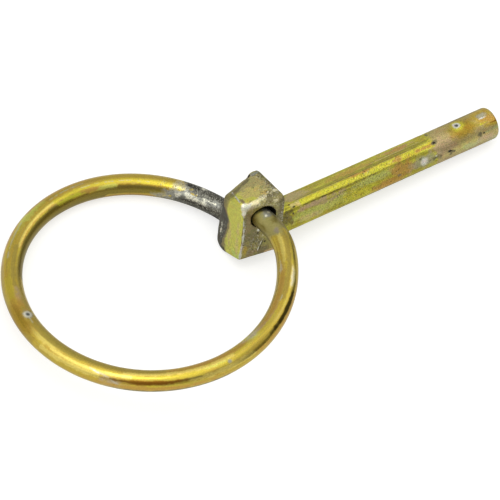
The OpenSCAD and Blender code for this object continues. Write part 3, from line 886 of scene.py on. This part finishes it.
# Dents in the wire, as on the pin but placed along and round it
WIRE_DENTS = (
    ((141.4, 1.85), (2.2, 0.60), -0.05),
    ((153.2, 3.8), (0.50, 0.40), -0.02),
    ((94.0, 1.8), (1.4, 0.30), -0.02),
    ((119.0, 1.9), (0.5, 0.4), -0.02),
)
# Height of the wire's slow waves, in mm
WIRE_WAVES = 0.010
# How finely the wire is made: between points of its path, in mm, then along and round it
PATH_STEP = 0.5
WIRE_STEPS = 1100
WIRE_SIDES = 72
# The same between the points that spokes are measured from, in mm
SPOKE_STEP = 0.1


def ring_path(step):
    """Points along the middle of the wire, from the back hole round to the front one."""
    ring_r = RING_D / 2
    bend_a = math.asin(STRAIGHT_Y / (ring_r - BEND_R))
    arc_a = math.pi - bend_a
    bend_l = BEND_R * bend_a
    centre_x = -(BEND_R * (1 - math.cos(bend_a)) + ring_r * math.cos(bend_a))
    rise = (STAGGER / 2) / (arc_a - 2 * math.sin(arc_a)
                            + (1 - 2 * math.cos(arc_a)) * bend_l / RING_D)
    slope = rise * (1 - 2 * math.cos(arc_a)) / ring_r

    def bend(side, t):
        a = bend_a * t
        return (-BEND_R * (1 - math.cos(a)),
                -side * (STRAIGHT_Y + BEND_R * math.sin(a)) - RING_SHIFT,
                side * (STAGGER / 2 - slope * bend_l * t ** 2 / 2))

    def leg(side):
        """One end of the wire: straight out of its hole, then bent towards the round part."""
        straight_l = STRAIGHT_Y + side * RING_SHIFT - END_GAP
        n = max(2, round(straight_l / step))
        m = round(bend_l / step)
        straight = [(0.0, -side * (END_GAP + straight_l * i / n), side * STAGGER / 2)
                    for i in range(n)]
        return straight + [bend(side, i / m) for i in range(m)]

    def arc(a):
        return (centre_x - ring_r * math.cos(a), -ring_r * math.sin(a) - RING_SHIFT,
                rise * (a - 2 * math.sin(a)))

    k = round(2 * arc_a * ring_r / step)
    round_part = [arc(arc_a * (2 * i / k - 1)) for i in range(k + 1)]
    turn = Matrix.Translation(HINGE) @ Matrix.Rotation(-DROOP, 4, "Y")
    return [(turn @ Vector(p)) * MM for p in leg(-1) + round_part + leg(1)[::-1]]


def ring_spokes(p, along):
    """How far each point lies from the wire's middle, outwards from the ring and upwards."""
    path = np.array([tuple(p) for p in ring_path(SPOKE_STEP)]) / MM
    run = np.gradient(path, axis=0)
    run /= np.linalg.norm(run, axis=1)[:, None]
    length = np.concatenate([[0], np.cumsum(np.linalg.norm(np.diff(path, axis=0), axis=1))])
    index = np.searchsorted(length, along).clip(0, len(path) - 1)
    out = np.cross(run[index], (-math.sin(DROOP), 0, math.cos(DROOP)))
    out /= np.linalg.norm(out, axis=1)[:, None]
    rise = np.cross(out, run[index])
    spoke = p - path[index]
    return (spoke * out).sum(1), (spoke * rise).sum(1)


def shape_ring(mesh):
    """Gives the plain wire its waves, its dents and its masks."""
    points = read_points(mesh)
    normals = read_normals(mesh)
    p = points / MM
    along = read_values(mesh.attributes["along"].data, "value") / MM
    out, up = ring_spokes(p, along)
    write_mask(mesh, "spoke_out", out * MM)
    write_mask(mesh, "spoke_up", up * MM)
    unrolled = np.stack([along, np.arctan2(up, out) * WIRE_D / 2], 1).astype(np.float32)
    masks = new_masks(RING_LAYERS, len(p))
    wobble = rough_noise(p, size=1.2, octaves=3, seed=500)
    add_marks(masks, unrolled, RING_MARKS, wobble, turn=math.pi * WIRE_D)
    for name, mask in masks.items():
        write_mask(mesh, name, mask)
    push = WIRE_WAVES * rough_noise(p, size=4.0, octaves=2, seed=81)
    push += dent_push(unrolled, WIRE_DENTS, wobble, ragged=0.1)
    write_points(mesh, points + normals * (push * MM)[:, None])


def wire_tree():
    """Geometry Nodes that sweep a round wire along a curve and close its bevelled ends."""
    tree = bpy.data.node_groups.new("wire sweep", "GeometryNodeTree")
    face = tree.interface
    face.new_socket("Path", in_out="INPUT", socket_type="NodeSocketGeometry")
    for name, value in (("Wire radius", WIRE_D / 2 * MM), ("End bevel", END_BEVEL * MM)):
        socket = face.new_socket(name, in_out="INPUT", socket_type="NodeSocketFloat")
        socket.default_value = value
    for name, value in (("Steps along", WIRE_STEPS), ("Sides", WIRE_SIDES)):
        socket = face.new_socket(name, in_out="INPUT", socket_type="NodeSocketInt")
        socket.default_value = value
    face.new_socket("Finish", in_out="INPUT", socket_type="NodeSocketMaterial")
    face.new_socket("Wire", in_out="OUTPUT", socket_type="NodeSocketGeometry")
    n = Nodes(tree)
    given = n.add("NodeGroupInput").outputs
    even = n.add("GeometryNodeResampleCurve",
                 {"Curve": given["Path"], "Count": given["Steps along"]}).outputs["Curve"]
    along = n.add("GeometryNodeSplineParameter").outputs["Length"]
    total = n.add("GeometryNodeSplineLength").outputs["Length"]
    near_end = n.math("MINIMUM", along, n.math("SUBTRACT", total, along))
    missing = n.math("MAXIMUM", n.math("SUBTRACT", given["End bevel"], near_end), 0.0)
    radius = n.math("SUBTRACT", given["Wire radius"], missing)
    kept = n.add("GeometryNodeStoreNamedAttribute",
                 {"Geometry": even, "Name": "along", "Value": along},
                 data_type="FLOAT", domain="POINT").outputs[0]
    rim = n.add("GeometryNodeCurvePrimitiveCircle", {"Resolution": given["Sides"], "Radius": 1.0})
    swept = n.add("GeometryNodeCurveToMesh", {"Curve": kept, "Profile Curve": rim.outputs["Curve"],
                                              "Scale": radius, "Fill Caps": True})
    smooth = n.add("GeometryNodeSetShadeSmooth", {"Geometry": swept.outputs[0]}).outputs[0]
    real = n.add("GeometryNodeRealizeInstances", {"Geometry": smooth}).outputs[0]
    done = n.add("GeometryNodeSetMaterial", {"Geometry": real, "Material": given["Finish"]})
    n.add("NodeGroupOutput", {"Wire": done.outputs[0]})
    return tree


def make_ring(finish):
    path = ring_path(PATH_STEP)
    curve = bpy.data.curves.new("wire_path", "CURVE")
    curve.dimensions = "3D"
    spline = curve.splines.new("POLY")
    spline.points.add(len(path) - 1)
    for point, place in zip(spline.points, path):
        point.co = (*place, 1)
    line = link(bpy.data.objects.new("wire_path", curve))
    sweep = line.modifiers.new("sweep", "NODES")
    sweep.node_group = wire_tree()
    for item in sweep.node_group.interface.items_tree:
        if item.name == "Finish":
            sweep[item.identifier] = finish
    mesh = plain_mesh(line, "ring_wire")
    shape_ring(mesh)
    return link(bpy.data.objects.new("ring_wire", mesh))


# ---------------------------------------------------------------- finishes

# Colours of the passivated zinc and of what wore, burnt or broke through it, some also used for
# painted highlights, painted shade and painted dark reflections
COLOURS = {
    "gold": (0.62, 0.45, 0.065, 1),
    "yellow": (0.70, 0.65, 0.058, 1),
    "lime": (0.70, 0.68, 0.13, 1),
    "straw": (0.70, 0.60, 0.20, 1),
    "green": (0.58, 0.66, 0.17, 1),
    "khaki": (0.52, 0.46, 0.19, 1),
    "olive": (0.40, 0.35, 0.11, 1),
    "moss": (0.45, 0.40, 0.042, 1),
    "citron": (0.65, 0.62, 0.063, 1),
    "fern": (0.62, 0.63, 0.14, 1),
    "brass": (0.50, 0.38, 0.075, 1),
    "honey": (0.70, 0.57, 0.062, 1),
    "blond": (0.82, 0.65, 0.15, 1),
    "umber": (0.23, 0.185, 0.040, 1),
    "sage": (0.42, 0.37, 0.130, 1),
    "ink": (0.12, 0.125, 0.115, 1),
    "dusk": (0.34, 0.28, 0.22, 1),
    "putty": (0.47, 0.44, 0.25, 1),
    "cream": (0.94, 0.83, 0.48, 1),
    # painted reflection: near-black for the dark line on the ring
    "dark_reflection": (0.085, 0.060, 0.008, 1),
    "bronze": (0.44, 0.29, 0.035, 1),
    "drab": (0.25, 0.22, 0.105, 1),
    "brown": (0.33, 0.265, 0.125, 1),
    "pink": (0.58, 0.43, 0.21, 1),
    "orange": (0.60, 0.37, 0.075, 1),
    "tan": (0.56, 0.45, 0.18, 1),
    "red": (0.34, 0.15, 0.015, 1),
    "soot": (0.090, 0.087, 0.068, 1),
    "grey": (0.120, 0.115, 0.090, 1),
    "ash": (0.155, 0.153, 0.124, 1),
    "mint": (0.54, 0.66, 0.28, 1),
    "rose": (0.68, 0.45, 0.32, 1),
    "haze": (0.66, 0.64, 0.50, 1),
    "steel": (0.345, 0.35, 0.31, 1),
    "silver": (0.66, 0.65, 0.56, 1),
    "pale": (0.90, 0.88, 0.71, 1),
    "dark": (0.035, 0.030, 0.022, 1),
}

# How much of these thin films, and of the umber that also paints shade on the ring, shows at most:
# the others cover what they lie on
THIN = {"haze": 0.45, "umber": 0.85, "steel": 0.85, "dusk": 0.8, "mint": 0.5, "rose": 0.55,
        "putty": 0.8}

# Tints that multiply what they lie on
PINKER = (1.0, 0.70, 0.62, 1)
GREENER = (0.82, 1.0, 0.62, 1)
STREAKED = (0.62, 0.58, 0.42, 1)
BRIGHTER = (1.07, 1.07, 1.16, 1)

# Roughness of the bare finishes, under all marks
PIN_ROUGH = 0.42
RING_ROUGH = 0.20
# How far the fine breakup frays a mask's rim, and how many more specks a mask calls for
FRAY = 0.9
SPECK_GAIN = 0.19
# How deep the bump of the fine grain goes on each
PIN_BUMP = 0.12 * MM
RING_BUMP = 0.04 * MM


def paint(n, colour, rough, layers, breakup):
    """Lays each named colour over the last one, where its mask and the fine breakup allow."""
    for name, gloss in layers:
        mask = n.attribute(name)
        edge = n.math("ADD", mask, n.math("MULTIPLY", n.math("SUBTRACT", breakup, 0.5), FRAY))
        share = n.math("MULTIPLY", n.ramp(edge, 0.08, 0.92), n.ramp(mask, 0.0, 0.2))
        share = n.math("MULTIPLY", share, THIN.get(name, 1.0))
        colour = n.mix(share, colour, COLOURS[name])
        rough = n.math("ADD", rough, n.math("MULTIPLY", share, n.math("SUBTRACT", gloss, rough)))
    return colour, rough


def speckle(n, place, colour, scale, grain, glint):
    """Dark and pale specks where the marks call for them, and a fine grain all over."""
    wanted = n.math("MULTIPLY", n.attribute("speck"), SPECK_GAIN)
    elsewhere = n.scaled(place, (1, 1, 1), (0.3, 0.2, 0.1))
    pits = n.math("ADD", n.noise(place, scale, detail=2, rough=0.7), wanted)
    glints = n.math("ADD", n.noise(elsewhere, scale, detail=2, rough=0.7), wanted)
    colour = n.cover(colour, COLOURS["dark"], pits, 0.70, 0.82, most=0.70)
    colour = n.cover(colour, COLOURS["pale"], glints, 0.72, 0.84, most=glint)
    fine = n.noise(place, scale * 1.4, detail=2, rough=0.8)
    light = n.spread(fine, 0.3, 0.7, 1 - grain, 1 + grain * 0.8)
    return n.mix(1.0, colour, light, "MULTIPLY")


def tinted(n, colour, tint, strength):
    """Thin-film tints: pinker and greener patches over every colour."""
    colour = n.cover(colour, PINKER, tint, 0.52, 0.66, strength, "MULTIPLY")
    return n.cover(colour, GREENER, tint, 0.48, 0.34, strength, "MULTIPLY")


def metal(n, colour, rough, height, depth, metallic):
    """Joins colour, roughness and fine relief into the finish itself."""
    bump = n.add("ShaderNodeBump", {"Height": height, "Strength": 0.5, "Distance": depth})
    shader = n.add("ShaderNodeBsdfPrincipled",
                   {"Base Color": colour, "Metallic": metallic, "Roughness": rough,
                    "Normal": bump.outputs[0]})
    n.add("ShaderNodeOutputMaterial", {"Surface": shader.outputs[0]})


def pin_finish():
    material, n = new_material("pin passivate")
    place = n.place()
    along = n.add("ShaderNodeSeparateXYZ", {0: place}).outputs["X"]
    on_shank = n.ramp(along, -0.2 * MM, 0.2 * MM)
    blotch = n.noise(place, scale=420, detail=4, rough=0.65, distort=0.4)
    drawn = n.noise(n.scaled(place, (0.05, 1, 1)), scale=1700, detail=3, rough=0.65)
    fine = n.noise(place, scale=2300, detail=3, rough=0.7)
    # the head is a drab olive, and the shank a brighter one in long streaks
    head = n.cover(COLOURS["drab"], COLOURS["olive"], blotch, 0.40, 0.62)
    shank = n.cover(COLOURS["moss"], COLOURS["citron"], drawn, 0.38, 0.58)
    shank = n.cover(shank, COLOURS["brass"], blotch, 0.46, 0.62, most=0.5)
    colour = n.mix(on_shank, head, shank)
    colour, rough = paint(n, colour, PIN_ROUGH, PIN_LAYERS, n.mix(0.5, blotch, fine))
    streaks = n.math("MULTIPLY", on_shank, 0.16)
    colour = n.cover(colour, STREAKED, drawn, 0.52, 0.36, streaks, "MULTIPLY")
    tint = n.noise(n.scaled(place, (0.6, 1, 1), (0.7, 0.1, 0.4)), scale=1300, detail=3,
                   rough=0.7, distort=0.5)
    colour = tinted(n, colour, tint, strength=0.40)
    colour = n.mix(on_shank, colour, BRIGHTER, "MULTIPLY")
    glint = n.math("SUBTRACT", 0.60, n.math("MULTIPLY", on_shank, 0.42))
    colour = speckle(n, place, colour, scale=3600, grain=0.46, glint=glint)
    metal(n, colour, rough, fine, PIN_BUMP, metallic=0.92)
    return material


def ring_finish():
    material, n = new_material("ring passivate")
    place = n.place()
    drawn = n.add("ShaderNodeCombineXYZ", {"X": n.math("MULTIPLY", n.attribute("along"), 0.06),
                                           "Y": n.attribute("spoke_out"),
                                           "Z": n.attribute("spoke_up")}).outputs[0]
    bands = n.noise(drawn, scale=520, detail=3, rough=0.6, distort=0.3)
    lines = n.noise(drawn, scale=2600, detail=3, rough=0.65)
    blotch = n.noise(place, scale=160, detail=4, rough=0.6, distort=0.4)
    fine = n.noise(place, scale=2400, detail=3, rough=0.6)
    colour = n.cover(COLOURS["gold"], COLOURS["yellow"], bands, 0.48, 0.62, most=0.45)
    colour = n.cover(colour, COLOURS["orange"], blotch, 0.50, 0.62, most=0.45)
    colour = n.cover(colour, COLOURS["tan"], lines, 0.54, 0.66, most=0.35)
    colour = n.cover(colour, COLOURS["olive"], lines, 0.46, 0.34, most=0.35)
    colour, rough = paint(n, colour, RING_ROUGH, RING_LAYERS, n.mix(0.5, lines, fine))
    colour = tinted(n, colour, bands, strength=0.20)
    colour = speckle(n, place, colour, scale=3800, grain=0.20, glint=0.45)
    # where the wire is burnt, it is rougher and shows less bare metal
    burnt = n.attribute("ash")
    metallic = n.math("SUBTRACT", 0.97, n.math("MULTIPLY", burnt, 0.35))
    rise = n.math("ADD", lines, n.math("MULTIPLY", n.math("MULTIPLY", fine, burnt), 2.0))
    metal(n, colour, rough, rise, RING_BUMP, metallic)
    return material


# ---------------------------------------------------------------- putting it together

make_camera()
make_world()

pin = make_pin(pin_finish())
ring = make_ring(ring_finish())

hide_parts("pin")
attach(pin, "pin")
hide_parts("ring")
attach(ring, "ring")

make_floor(*rest_plane(np.concatenate([read_points(pin.data), read_points(ring.data)])))
make_lamp("key softbox", place=(-0.66, -0.46, 1.99), aim=(0, 0, 0), size=(0.70, 0.70), power=2.4)

bpy.context.scene.view_settings.view_transform = "Standard"
